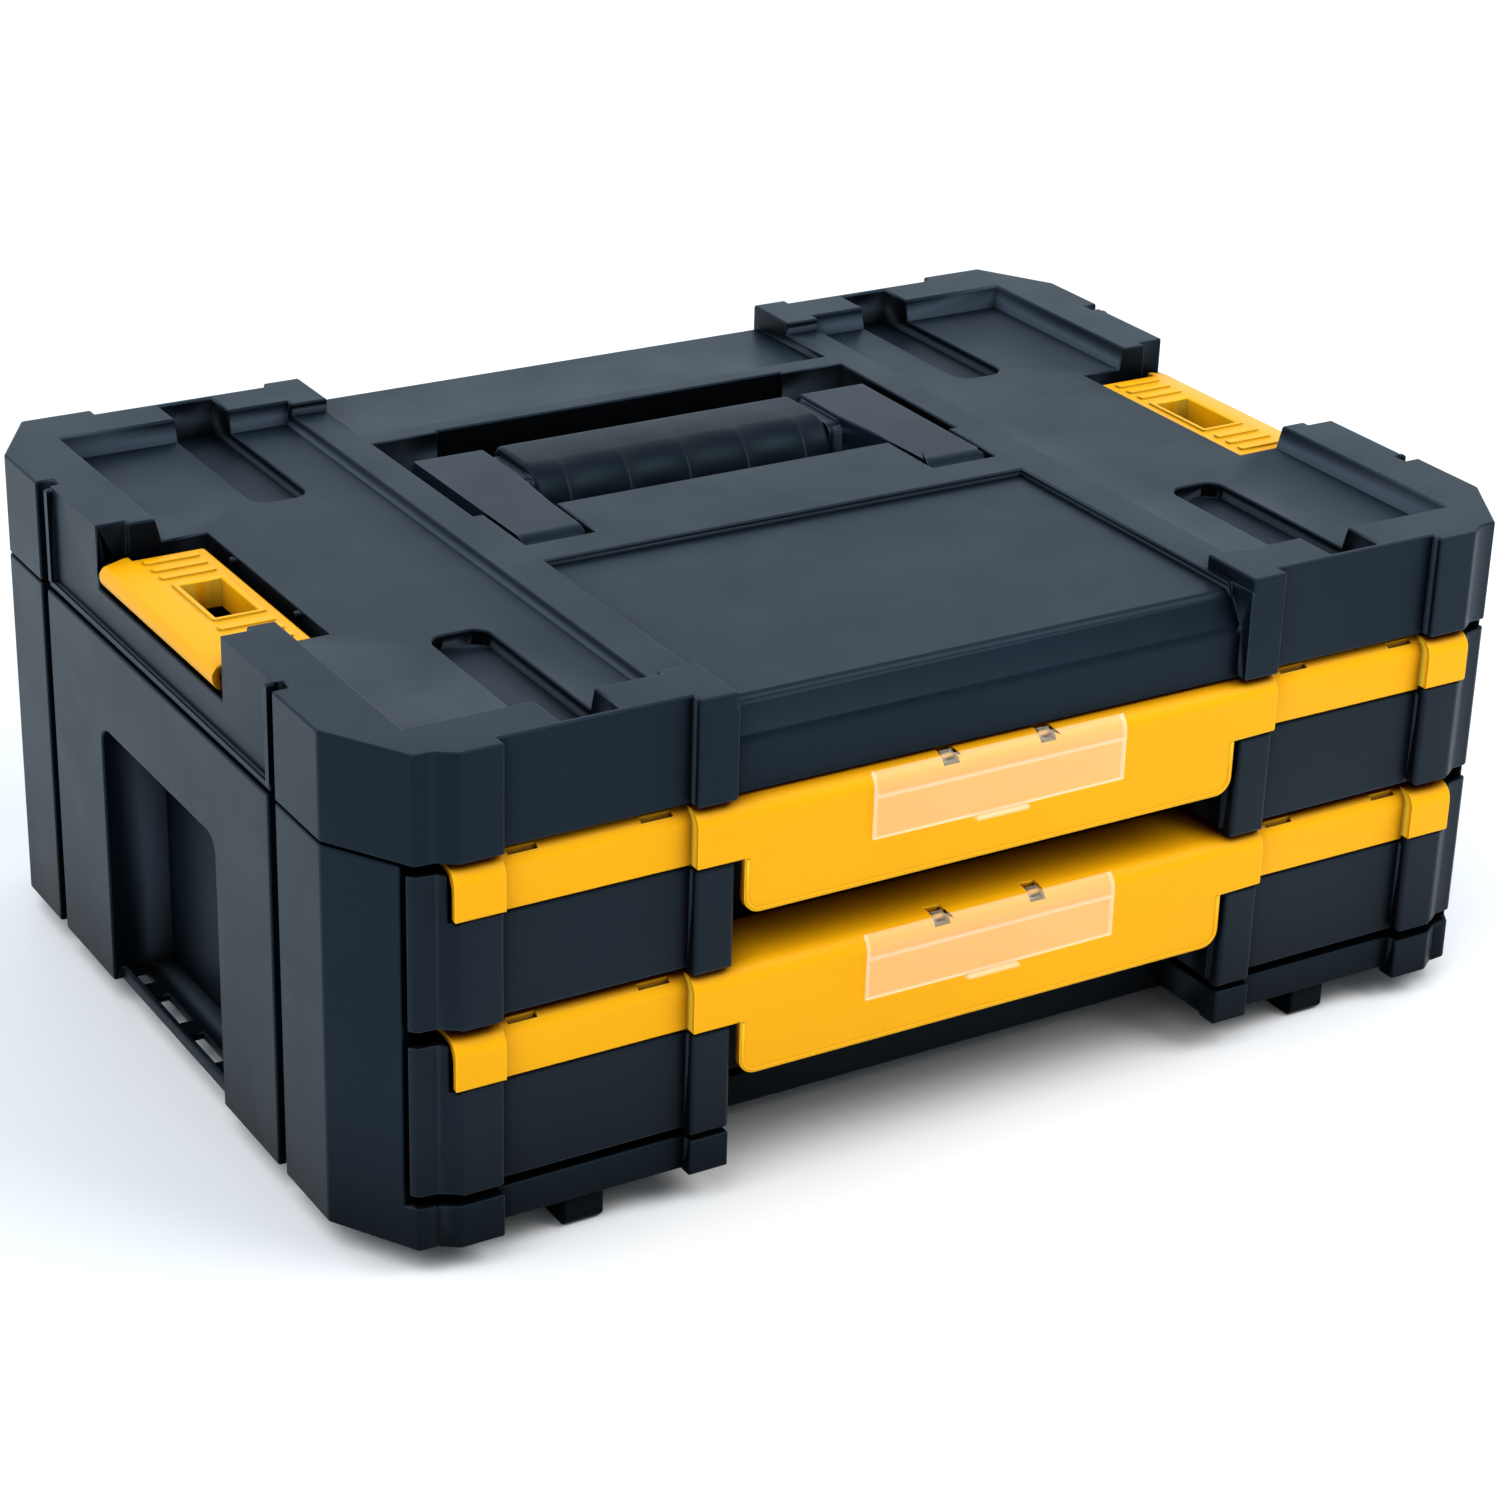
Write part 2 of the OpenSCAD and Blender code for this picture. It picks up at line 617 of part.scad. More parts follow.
// Drawer tub with the guides of its dividers
module tub() {
    difference() {
        union() {
            block([-tub_half_w, recess_y, tub_z[0]], [tub_half_w, tub_rear_y, tub_z[1]]);
            block([-tub_half_w, recess_y, tub_z[0]], [tub_half_w, recess_y + tub_wall, tub_front_z]);
        }
        block([-tub_half_w + tub_wall, recess_y + tub_wall, tub_z[0] + tub_wall],
            [tub_half_w - tub_wall, tub_rear_y - tub_wall, tub_front_z + 5]);
    }
    both_sides() divider_guides();
}

// Black front: two hollow wings with their posts, joined by the rear wall of the finger gap
module front() {
    both_sides() difference() {
        front_wing();
        wing_hollow();
    }
    block([-pull_x - 2, recess_y - fit - tub_wall, front_panel_z],
        [pull_x + 2, recess_y - fit, tub_front_z]);
}

// Half of the black front: a box as deep as the finger gap, with its two posts
module front_wing() {
    rear = recess_y - fit;
    plan([[pull_x + 1.2, rear], [pull_x + 1.2, -panel_y], [bevel_x, -panel_y],
        [190, -panel_y + 2], [190, rear]],
        front_panel_z, fascia_z[0] - fit);
    along_x([[rear, front_panel_z], [-panel_y + 3.4, front_panel_z], [-panel_y + 3.4, fascia_z[0] + 10],
        [-panel_y + 8.2, tub_front_z], [rear, tub_front_z]], pull_x + 1.2, 190);
    block([post_in[0], -post_y, front_z], [post_in[1], -panel_y + 1, fascia_z[0] - fit]);
    block([post_out[0], -post_y, end_z[0] - 0.6], [post_out[1], -panel_y + 1, fascia_z[0] - fit]);
    // top of the corner post, in front of the strip's end
    block([post_out[0], -post_y, fascia_z[0] - 2],
        [post_out[1], -panel_y - fascia_lift - 0.1, end_strip_z - fit]);
    plan(concat([[186, -panel_y + 2.4], [186, -panel_y - 1], [post_out[1], -post_y]], front_corner),
        end_z[0], end_strip_z - fit);
    // upper part of the end, beyond the fascia
    plan(concat([[fascia_end_x + 0.4, -panel_y + 1.9], [fascia_end_x + 0.4, -post_y + 1.6]], front_corner),
        end_z[0], end_z[1]);
}

// From the corner post's bevel round the corner to the outer end of a drawer's front
front_corner = [[bevel_x, -panel_y - 0.5], [chamfer_x - 0.6, -panel_y], on_chamfer(0.03, 0),
    on_chamfer(front_end, 0), on_chamfer(front_end, 2.4), [chamfer_x - 4, -panel_y + 1.9]];

module wing_hollow()
    block([pull_x + 1.2 + tub_wall, -panel_y + 5, front_panel_z + tub_wall],
        [190 - tub_wall, recess_y + 1, tub_front_z - tub_wall]);

// Ribs that hold the ends of the removable dividers
module divider_guides() {
    gap = divider_t / 2 + 0.15;
    for (y = [[recess_y + tub_wall - 1, recess_y + tub_wall + guide_h],
              [tub_rear_y - tub_wall - guide_h, tub_rear_y - tub_wall + 1]], side = [-1, 1])
        block([divider_x + side * (gap + 0.75) - 0.75, y[0], tub_z[0] + 1],
            [divider_x + side * (gap + 0.75) + 0.75, y[1], divider_top]);
    for (side = [-1, 1])
        block([tub_half_w - tub_wall - guide_h, divider_y + side * (gap + 0.75) - 0.75, tub_z[0] + 1],
            [tub_half_w - tub_wall + 1, divider_y + side * (gap + 0.75) + 0.75, divider_top]);
}

module divider()
    block([divider_x - divider_t / 2, recess_y + tub_wall + 0.2, tub_z[0] + tub_wall + fit],
        [divider_x + divider_t / 2, tub_rear_y - tub_wall - 0.2, divider_top]);

module cross_divider()
    block([divider_x + divider_t / 2 + 0.2, divider_y - divider_t / 2, tub_z[0] + tub_wall + fit],
        [tub_half_w - tub_wall - 0.2, divider_y + divider_t / 2, divider_top]);

// Profile of the fascia: front face at y, lower edge at z, flange back to the tub
function fascia_profile(y, z) = concat([[y + fascia_wall, z], [y, z]],
    arc(y + fascia_round, fascia_z[1] - fascia_round, fascia_round, 180, 90),
    [[recess_y, fascia_z[1]], [recess_y, fascia_z[1] - 2.6 + fit]],
    arc(y + fascia_round + fascia_wall, fascia_z[1] - fascia_round - fascia_wall + fit,
        fascia_round, 90, 180));

// Solid web that joins the strip's face to the bolder face over a post
function step_web(face, bold, z) = concat([[face + 1, z], [bold, z]],
    arc(bold + fascia_round, fascia_z[1] - fascia_round, fascia_round, 180, 90),
    arc(face + fascia_round, fascia_z[1] - fascia_round, fascia_round - 1, 90, 180));

// Front strip with the wide pull in its middle and the seats of the label window
module fascia() difference() {
    union() {
        face = -panel_y - fascia_lift;
        bold = -post_y - fascia_lift;
        both_sides() {
            along_x(step_web(face, bold, fascia_z[0]), post_in[1] - 2, post_in[1]);
            along_x(step_web(face, bold, end_strip_z), post_out[0], post_out[0] + 2);
        }
        both_sides() {
            along_x(fascia_profile(face, fascia_z[0]), post_in[1] - 1, post_out[0] + 1);
            along_x(fascia_profile(bold, end_strip_z), post_out[0], fascia_end_x);
        }
        intersection() {
            along_x(fascia_profile(bold, pull_z), -post_in[1], post_in[1]);
            pull_shape();
        }
    }
    both_sides() {
        // slots along the upper edge
        for (x = [[116, 127], [162, 172]])
            block([x[0], -panel_y + 1.1, fascia_z[1] - 2.6], [x[1], -panel_y + 2.7, box_h]);
        // seats of the window's clips, open to the front for their arms
        block([clip_x - 3, clip_pin[0] - 3.2, clip_pin[1] - 3.2], [clip_x + 3, clip_pin[0] + 3.2, box_h]);
        block([clip_x - 3, -post_y - 5, clip_pin[1] - 1.2], [clip_x + 3, clip_pin[0], box_h]);
    }
}

// Front view of the middle part: the wide pull, and the strip over the inner posts
module pull_shape()
    along_y(concat([[post_in[1], fascia_z[1] + 1], [post_in[1], fascia_z[0]], [pull_x, fascia_z[0]]],
        arc(pull_x - 6, pull_z + 6, 6, 0, -90), arc(-pull_x + 6, pull_z + 6, 6, 270, 180),
        [[-pull_x, fascia_z[0]], [-post_in[1], fascia_z[0]], [-post_in[1], fascia_z[1] + 1]]),
        -post_y - 5, recess_y);

// Bars in the seats, on which the window's clips turn
module clip_bars() both_sides()
    bar_x(clip_pin_r, clip_pin[0], clip_pin[1], clip_x - 3.5, clip_x + 3.5);

// Clear window over the label, with two clips and a finger tab
module label_window() {
    face = -post_y - fascia_lift - 0.2;
    along_x(concat([[face, window_z[0]], [face - window_t, window_z[0]], [face - window_t, window_z[1]]],
        arc(face + fascia_round, fascia_z[1] - fascia_round, fascia_round + window_t, 180, 125),
        arc(face + fascia_round, fascia_z[1] - fascia_round, fascia_round + 0.1, 125, 180)),
        -window_x, window_x);
    block([-10, face - window_t - 2, window_z[0] - 1.2], [10, face, window_z[0]]);
    both_sides() difference() {
        union() {
            bar_x(2.1, clip_pin[0], clip_pin[1], clip_x - 2, clip_x + 2);
            block([clip_x - 2, face + 0.6, clip_pin[1] - 0.6],
                [clip_x + 2, clip_pin[0], clip_pin[1] + 1.9]);
        }
        bar_x(clip_pin_r + running, clip_pin[0], clip_pin[1], clip_x - 3, clip_x + 3);
    }
}

module upper_tub() color("#252e38") tub();
module lower_tub() color("#252e38") lower_place() tub();
module upper_front() color("#252e38") front();
module lower_front() color("#252e38") lower_place() front();
module full_fascia() {
    fascia();
    clip_bars();
}
module upper_fascia() color("#fbb915") full_fascia();
module lower_fascia() color("#fbb915") lower_place() full_fascia();
module upper_label_window() color("#f6d9a8", 0.6) label_window();
module lower_label_window() color("#f6d9a8", 0.6) lower_place() label_window();
module upper_left_divider() color("#3a434c") left_hand() divider();
module upper_right_divider() color("#3a434c") divider();
module upper_left_cross() color("#3a434c") left_hand() cross_divider();
module upper_right_cross() color("#3a434c") cross_divider();
module lower_left_divider() color("#3a434c") lower_place() left_hand() divider();
module lower_right_divider() color("#3a434c") lower_place() divider();
module lower_left_cross() color("#3a434c") lower_place() left_hand() cross_divider();
module lower_right_cross() color("#3a434c") lower_place() cross_divider();

// ---------------------------------------------------------------- ball slides

// Channel with a back plate at x and flanges reaching to x_end, run along Y
module channel(x, x_end, half_h) {
    side = sign(x_end - x);
    far = x + side * slide_t;
    block([min(x, far), slide_y[0], slide_z - half_h], [max(x, far), slide_y[1], slide_z + half_h]);
    for (end = [-1, 1])
        block([min(x, x_end), slide_y[0], slide_z + end * (half_h - slide_t / 2) - slide_t / 2],
            [max(x, x_end), slide_y[1], slide_z + end * (half_h - slide_t / 2) + slide_t / 2]);
}

// Outer channel on the case, inner channel on the drawer
module case_channel() channel(slide_out_x, slide_in_x + 3, slide_half_h);
module drawer_slide() channel(slide_in_x, slide_out_x - 3, slide_half_h - slide_step);

// Ball retainer between the two channels: a bent strip with two rows of balls
module ball_cage() {
    block([cage_x[1] - 0.8, cage_y[0], slide_z - cage_half_h],
        [cage_x[1], cage_y[1], slide_z + cage_half_h]);
    for (end = [-1, 1]) {
        block([cage_x[0], cage_y[0], slide_z + end * cage_half_h - 0.4],
            [cage_x[1], cage_y[1], slide_z + end * cage_half_h + 0.4]);
        for (y = [cage_y[0] + 5:10:cage_y[1] - 5])
            translate([cage_x[0] + 2, y, slide_z + end * cage_half_h]) sphere(r = ball_r);
    }
}

module upper_left_channel() color("lightgrey") left_hand() case_channel();
module upper_right_channel() color("lightgrey") case_channel();
module lower_left_channel() color("lightgrey") lower_place() left_hand() case_channel();
module lower_right_channel() color("lightgrey") lower_place() case_channel();
module upper_left_slide() color("lightgrey") left_hand() drawer_slide();
module upper_right_slide() color("lightgrey") drawer_slide();
module lower_left_slide() color("lightgrey") lower_place() left_hand() drawer_slide();
module lower_right_slide() color("lightgrey") lower_place() drawer_slide();
module upper_left_cage() color("gold") left_hand() ball_cage();
module upper_right_cage() color("gold") ball_cage();
module lower_left_cage() color("gold") lower_place() left_hand() ball_cage();
module lower_right_cage() color("gold") lower_place() ball_cage();

// ---------------------------------------------------------------- choice of node

lid();
left_side();
right_side();
rear_wall();
base_tray();
case_screws();
lid_screws();
handle_bail();
handle_grip();
left_handle_pin();
right_handle_pin();
left_latch();
right_latch();
left_latch_pin();
right_latch_pin();
upper_tub();
upper_front();
upper_fascia();
upper_label_window();
upper_left_divider();
upper_right_divider();
upper_left_cross();
upper_right_cross();
upper_left_channel();
upper_right_channel();
upper_left_slide();
upper_right_slide();
upper_left_cage();
upper_right_cage();
lower_tub();
lower_front();
lower_fascia();
lower_label_window();
lower_left_divider();
lower_right_divider();
lower_left_cross();
lower_right_cross();
lower_left_channel();
lower_right_channel();
lower_left_slide();
lower_right_slide();
lower_left_cage();
lower_right_cage();
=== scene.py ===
"""Looks for the stackable two-drawer tool box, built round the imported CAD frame. Metres, Z up."""
import json
import math

import bmesh
import bpy
from mathutils import Matrix, Vector


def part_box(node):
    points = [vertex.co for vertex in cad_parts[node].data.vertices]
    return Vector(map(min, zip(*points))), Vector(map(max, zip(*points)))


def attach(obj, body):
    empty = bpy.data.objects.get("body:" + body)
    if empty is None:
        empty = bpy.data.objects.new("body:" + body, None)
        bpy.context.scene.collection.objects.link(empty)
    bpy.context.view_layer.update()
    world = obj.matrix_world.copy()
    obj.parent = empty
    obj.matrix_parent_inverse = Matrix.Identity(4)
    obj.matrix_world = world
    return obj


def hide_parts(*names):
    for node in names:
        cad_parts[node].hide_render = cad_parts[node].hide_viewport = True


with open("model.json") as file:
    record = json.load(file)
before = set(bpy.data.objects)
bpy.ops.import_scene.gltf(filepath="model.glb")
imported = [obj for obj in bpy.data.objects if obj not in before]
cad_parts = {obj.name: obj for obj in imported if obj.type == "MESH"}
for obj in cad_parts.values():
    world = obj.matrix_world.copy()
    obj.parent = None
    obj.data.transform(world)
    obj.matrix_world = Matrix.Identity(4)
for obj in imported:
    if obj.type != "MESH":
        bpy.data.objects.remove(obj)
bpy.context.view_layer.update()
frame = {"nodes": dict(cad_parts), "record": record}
scene = bpy.context.scene
MM = 0.001
LEVELS = ("upper", "lower")
SIDES = ("left", "right")

# ---------------------------------------------------------------- camera

CAMERA_AT = (-0.6114, -1.0048, 0.6180)
CAMERA_AZIMUTH = -31.511      # degrees; 0 looks along +Y
CAMERA_ELEVATION = 24.963     # degrees that it looks down
CAMERA_ROLL = 1.720
CAMERA_LENS = 87.23           # on a 36 mm sensor


def make_camera():
    azimuth, elevation, roll = (math.radians(a) for a in (CAMERA_AZIMUTH, CAMERA_ELEVATION, CAMERA_ROLL))
    look = Vector((-math.sin(azimuth) * math.cos(elevation), math.cos(azimuth) * math.cos(elevation),
                   -math.sin(elevation)))
    right = look.cross(Vector((0, 0, 1))).normalized()
    up = right.cross(look)
    right, up = right * math.cos(roll) + up * math.sin(roll), up * math.cos(roll) - right * math.sin(roll)
    data = bpy.data.cameras.new("camera")
    data.lens, data.sensor_width = CAMERA_LENS, 36.0
    camera = bpy.data.objects.new("camera", data)
    camera.matrix_world = Matrix.Translation(CAMERA_AT) @ Matrix((right, up, -look)).transposed().to_4x4()
    scene.collection.objects.link(camera)
    scene.camera = camera


make_camera()

# ---------------------------------------------------------------- materials

EDGE_REACH = 0.7 * MM         # how far the painted edge highlight reaches from an edge
SHUT_GLOSS = 0.15             # painted shade on the gloss: the share of its gloss that plastic keeps in a closed gap


class Shader:
    """A node material with short ways to add and join nodes."""

    def __init__(self, name):
        self.material = bpy.data.materials.new(name)
        self.material.use_nodes = True
        self.tree = self.material.node_tree
        self.surface = self.tree.nodes["Principled BSDF"]

    def node(self, kind, **settings):
        made = self.tree.nodes.new(kind)
        for key, value in settings.items():
            if hasattr(made, key):
                setattr(made, key, value)
            else:
                made.inputs[key.replace("_", " ")].default_value = value
        return made

    def join(self, source, target):
        self.tree.links.new(source, target)

    def place(self, scale=(1.0, 1.0, 1.0)):
        """Object coordinates, in metres times scale."""
        coordinates = self.node("ShaderNodeTexCoord")
        mapping = self.node("ShaderNodeMapping")
        mapping.inputs["Scale"].default_value = scale
        self.join(coordinates.outputs["Object"], mapping.inputs["Vector"])
        return mapping.outputs["Vector"]

    def noise(self, scale, detail=4.0, roughness=0.55):
        made = self.node("ShaderNodeTexNoise", Scale=scale, Detail=detail, Roughness=roughness)
        self.join(self.place(), made.inputs["Vector"])
        return made.outputs["Fac"]

    def ramp(self, source, stops):
        made = self.node("ShaderNodeValToRGB")
        elements = made.color_ramp.elements
        while len(elements) < len(stops):
            elements.new(0.5)
        for element, (position, colour) in zip(elements, stops):
            element.position = position
            element.color = (*colour, 1.0) if len(colour) == 3 else colour
        self.join(source, made.inputs["Fac"])
        return made.outputs["Color"]

    def rescale(self, source, start, end, low=0.0, high=1.0):
        """Brings a value that runs from start to end into the range from low to high."""
        made = self.node("ShaderNodeMapRange", From_Min=start, From_Max=end, To_Min=low, To_Max=high)
        self.join(source, made.inputs["Value"])
        return made.outputs["Result"]

    def maths(self, operation, *operands, clamp=False):
        """A Math node; each operand is a number or a socket."""
        made = self.node("ShaderNodeMath", operation=operation, use_clamp=clamp)
        for operand, target in zip(operands, made.inputs):
            if isinstance(operand, float):
                target.default_value = operand
            else:
                self.join(operand, target)
        return made.outputs["Value"]

    def uneven_gloss(self, scale, low, high):
        """Roughness that wanders between two values; nearly all of a noise lies between 0.3 and 0.7."""
        self.join(self.rescale(self.noise(scale), 0.3, 0.7, low, high), self.surface.inputs["Roughness"])

    def bump(self, heights):
        """Chains bump nodes: heights is a list of (source, strength, distance in metres)."""
        normal = None
        for source, strength, distance in heights:
            made = self.node("ShaderNodeBump", Strength=strength, Distance=distance)
            self.join(source, made.inputs["Height"])
            if normal:
                self.join(normal, made.inputs["Normal"])
            normal = made.outputs["Normal"]
        self.join(normal, self.surface.inputs["Normal"])

    def openness(self, *scales):
        """How open the surroundings are: 0 deep in a gap or crease, 1 on a free face.

        Each scale is its reach, the share of open sky that counts as shut, and the one that
        counts as open.
        """
        product = None
        for reach, shut, wide in scales:
            cavity = self.node("ShaderNodeAmbientOcclusion", samples=6, Distance=reach)
            share = self.rescale(cavity.outputs["AO"], shut, wide)
            product = self.maths("MULTIPLY", product, share) if product else share
        return product

    def mix(self, factor, low, high):
        """Low where the factor is 0, high where it is 1; each is a colour or a socket."""
        made = self.node("ShaderNodeMix", data_type="RGBA")
        self.join(factor, made.inputs["Factor"])
        for source, end in ((low, "A"), (high, "B")):
            if isinstance(source, tuple):
                made.inputs[end].default_value = (*source, 1.0)
            else:
                self.join(source, made.inputs[end])
        return made.outputs["Result"]

    def edge_highlight(self, base, highlight_colour):
        """Mixes a painted highlight colour over the rounded edges, where the normal turns quickly."""
        rounded = self.node("ShaderNodeBevel", samples=4, Radius=EDGE_REACH)
        geometry = self.node("ShaderNodeNewGeometry")
        turned = self.node("ShaderNodeVectorMath", operation="DOT_PRODUCT")
        self.join(rounded.outputs["Normal"], turned.inputs[0])
        self.join(geometry.outputs["True Normal"], turned.inputs[1])
        edge = self.ramp(turned.outputs["Value"], [(0.80, (1, 1, 1)), (0.985, (0, 0, 0))])
        return self.mix(edge, base, highlight_colour)


def moulded_plastic(name, dark, light, highlight_colour, roughness, gaps, gap_shade=(0.001, 0.001, 0.001),
                    grain=0.25, specular=0.12, sheen=0.0, tint=(0.5, 0.82, 1.0)):
    """Moulded plastic: mottled colour, fine grain, sink marks, a painted highlight on its rounded edges, and
    painted shade in its gaps, where its gloss and sheen are turned down as well.
    """
    shader = Shader(name)
    surface = shader.surface.inputs
    mottled = shader.ramp(shader.noise(9.0, detail=3.0), [(0.35, dark), (0.65, light)])
    open_share = shader.openness(*gaps)
    # painted shade and painted highlight: the colour turns to the dark gap-shade colour where the
    # surroundings close in, and takes the painted edge highlight on rounded edges
    shader.join(shader.mix(open_share, gap_shade, shader.edge_highlight(mottled, highlight_colour)), surface["Base Color"])
    # painted shade on the gloss: gloss and sheen fall towards a share of themselves in gaps and creases
    for socket, most in (("Specular IOR Level", specular), ("Sheen Weight", sheen)):
        shader.join(shader.rescale(open_share, 0.0, 1.0, most * SHUT_GLOSS, most), surface[socket])
    surface["Sheen Roughness"].default_value = 0.45
    for socket in ("Sheen Tint", "Specular Tint"):
        surface[socket].default_value = (*tint, 1.0)
    shader.uneven_gloss(30.0, roughness - 0.04, roughness + 0.05)
    shader.bump([(shader.noise(1500.0, detail=2.0), grain, 0.06 * MM), (shader.noise(22.0), 0.06, 1.2 * MM)])
    return shader.material


def sheet_metal(name, dark, light):
    """Rolled and plated sheet: fine streaks along Y, with uneven gloss."""
    shader = Shader(name)
    streaks = shader.node("ShaderNodeTexNoise", Scale=260.0, Detail=5.0, Roughness=0.6)
    shader.join(shader.place((1.0, 0.03, 1.0)), streaks.inputs["Vector"])
    shader.join(shader.ramp(streaks.outputs["Fac"], [(0.3, dark), (0.7, light)]),
                shader.surface.inputs["Base Color"])
    shader.uneven_gloss(40.0, 0.26, 0.4)
    shader.surface.inputs["Metallic"].default_value = 1.0
    shader.bump([(streaks.outputs["Fac"], 0.2, 0.05 * MM)])
    return shader.material


def clear_plastic_material(node, edge, tab_height, flange_height):
    """Lightly frosted clear moulding with whiter lines along its ends, its lower edge and its fold, which
    are painted highlights.
    """
    low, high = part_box(node)
    width, height = high[0] - low[0], high[2] - low[2]
    shader = Shader("clear_plastic")
    coordinates = shader.node("ShaderNodeTexCoord")
    parts = shader.node("ShaderNodeSeparateXYZ")
    shader.join(coordinates.outputs["Generated"], parts.inputs["Vector"])
    lines = [shader.maths("COMPARE", parts.outputs[axis], place, half)
             for axis, place, half in (("X", 0.0, edge / width), ("X", 1.0, edge / width),
                                       ("Z", tab_height / height, 0.6 * edge / height),
                                       ("Z", 1.0 - flange_height / height, 0.5 * edge / height))]
    # painted highlight: whiter, less clear lines along the ends, the lower edge and the fold
    edge_glint = lines[0]
    for line in lines[1:]:
        edge_glint = shader.maths("MAXIMUM", edge_glint, line)
    aslant = shader.node("ShaderNodeLayerWeight", Blend=0.3)
    haze = shader.maths("MULTIPLY_ADD", aslant.outputs["Facing"], 0.25, 0.10)
    cover = shader.maths("MULTIPLY_ADD", edge_glint, 0.24, haze, clamp=True)
    shader.join(cover, shader.surface.inputs["Alpha"])
    shader.join(shader.ramp(shader.noise(40.0), [(0.3, (0.94, 0.84, 0.62)), (0.7, (0.98, 0.88, 0.66))]),
                shader.surface.inputs["Base Color"])
    shader.uneven_gloss(60.0, 0.16, 0.26)
    shader.bump([(shader.noise(90.0), 0.05, 0.1 * MM)])
    shader.surface.inputs["Specular IOR Level"].default_value = 0.3
    return shader.material


# Scales of the painted shade that darkens the plastic in gaps and creases: reach, and the shares of open sky
# for shut and open
WIDE_GAPS = (60 * MM, 0.45, 0.94)
NARROW_GAPS = (5 * MM, 0.40, 0.92)

# Each plastic's lighter edge colour is a painted highlight on its rounded edges.
case_plastic = moulded_plastic(
    "case_plastic", dark=(0.0034, 0.0068, 0.0125), light=(0.0043, 0.0086, 0.0155),
    highlight_colour=(0.050, 0.070, 0.095), roughness=0.36, gaps=(WIDE_GAPS, NARROW_GAPS), sheen=0.05)
drawer_plastic = moulded_plastic(
    "drawer_plastic", dark=(0.0056, 0.0078, 0.0125), light=(0.0068, 0.0094, 0.0150),
    highlight_colour=(0.050, 0.068, 0.092), roughness=0.34, gaps=(WIDE_GAPS, NARROW_GAPS), sheen=0.035)
handle_plastic = moulded_plastic(
    "handle_plastic", dark=(0.0036, 0.0068, 0.0125), light=(0.0045, 0.0084, 0.0150),
    highlight_colour=(0.050, 0.070, 0.095), roughness=0.34, gaps=(NARROW_GAPS,), sheen=0.03)
grip_rubber = moulded_plastic(
    "grip_rubber", dark=(0.0034, 0.0054, 0.0088), light=(0.0042, 0.0066, 0.0106),
    highlight_colour=(0.020, 0.028, 0.038), roughness=0.42, gaps=((20 * MM, 0.1, 0.8),),
    grain=0.4, specular=0.11, sheen=0.04)
# The yellow's dark red-brown gap colour is painted shade, in its gaps and under overhanging parts.
yellow_plastic = moulded_plastic(
    "yellow_plastic", dark=(0.86, 0.385, 0.0022), light=(0.90, 0.410, 0.0030),
    highlight_colour=(1.0, 0.60, 0.03), roughness=0.38, gaps=((14 * MM, 0.36, 0.92),),
    gap_shade=(0.09, 0.014, 0.002), grain=0.12, specular=0.14, tint=(1.0, 0.75, 0.4))
steel = sheet_metal("zinc_steel", (0.50, 0.51, 0.53), (0.62, 0.63, 0.65))
brass = sheet_metal("cage_brass", (0.55, 0.42, 0.20), (0.66, 0.52, 0.27))
clear_plastic = clear_plastic_material("upper_label_window", edge=0.9 * MM, tab_height=1.2 * MM,
                                       flange_height=8.0 * MM)

SLOT_MATERIAL = {
    "case_plastic": case_plastic, "drawer_plastic": drawer_plastic, "divider_plastic": drawer_plastic,
    "handle_plastic": handle_plastic, "grip_rubber": grip_rubber, "yellow_plastic": yellow_plastic,
    "clear_plastic": clear_plastic, "plated_steel": steel, "slide_steel": steel, "cage_brass": brass,
}
NODE_SLOT = {row["node"]: row["material_slot"] for row in frame["record"]["subparts"]}
NODE_BODY = {node: body for body, nodes in frame["record"]["behaviour"]["bodies"].items()
             for node in nodes}


def finish_with(thing, material):
    thing.data.materials.clear()
    thing.data.materials.append(material)


# ---------------------------------------------------------------- meshes


def new_piece(name, mesh, flat_ends=False):
    """Makes a finished bmesh a smooth-shaded object; its many-sided ends can stay flat."""
    data = bpy.data.meshes.new(name)
    mesh.to_mesh(data)
    mesh.free()
    for polygon in data.polygons:
        polygon.use_smooth = not flat_ends or len(polygon.vertices) == 4
    piece = bpy.data.objects.new(name, data)
    scene.collection.objects.link(piece)
    return piece


def skin_over(mesh, rings):
    """Faces between neighbouring rings of corners, and one over each end."""
    for one, two in zip(rings, rings[1:]):
        for j in range(len(one)):
            k = (j + 1) % len(one)
            mesh.faces.new((one[j], one[k], two[k], two[j]))
    mesh.faces.new(rings[0])
    mesh.faces.new(rings[-1])
    bmesh.ops.recalc_face_normals(mesh, faces=mesh.faces)


# ---------------------------------------------------------------- moulded pieces

SEAM_AT = (196.5 * MM, -155.0 * MM)   # where the base meets a side wall's foot: x either way, and y
SHARP_ANGLE = math.radians(24)        # edges that turn more than this are rounded
ROOM_SHARE = 0.42                     # most of a narrow face's width that one edge's rounding takes
SLACK = 0.3 * MM                      # how close counts as on a line or beside an edge


def weld_and_clean(mesh):
    """Joins the split corners of a CAD mesh and merges its flat triangles into whole faces."""
    bmesh.ops.remove_doubles(mesh, verts=mesh.verts, dist=0.004 * MM)
    bmesh.ops.dissolve_degenerate(mesh, dist=0.002 * MM, edges=mesh.edges)
    bmesh.ops.dissolve_limit(mesh, angle_limit=math.radians(0.6), verts=mesh.verts, edges=mesh.edges)
    bmesh.ops.recalc_face_normals(mesh, faces=mesh.faces)


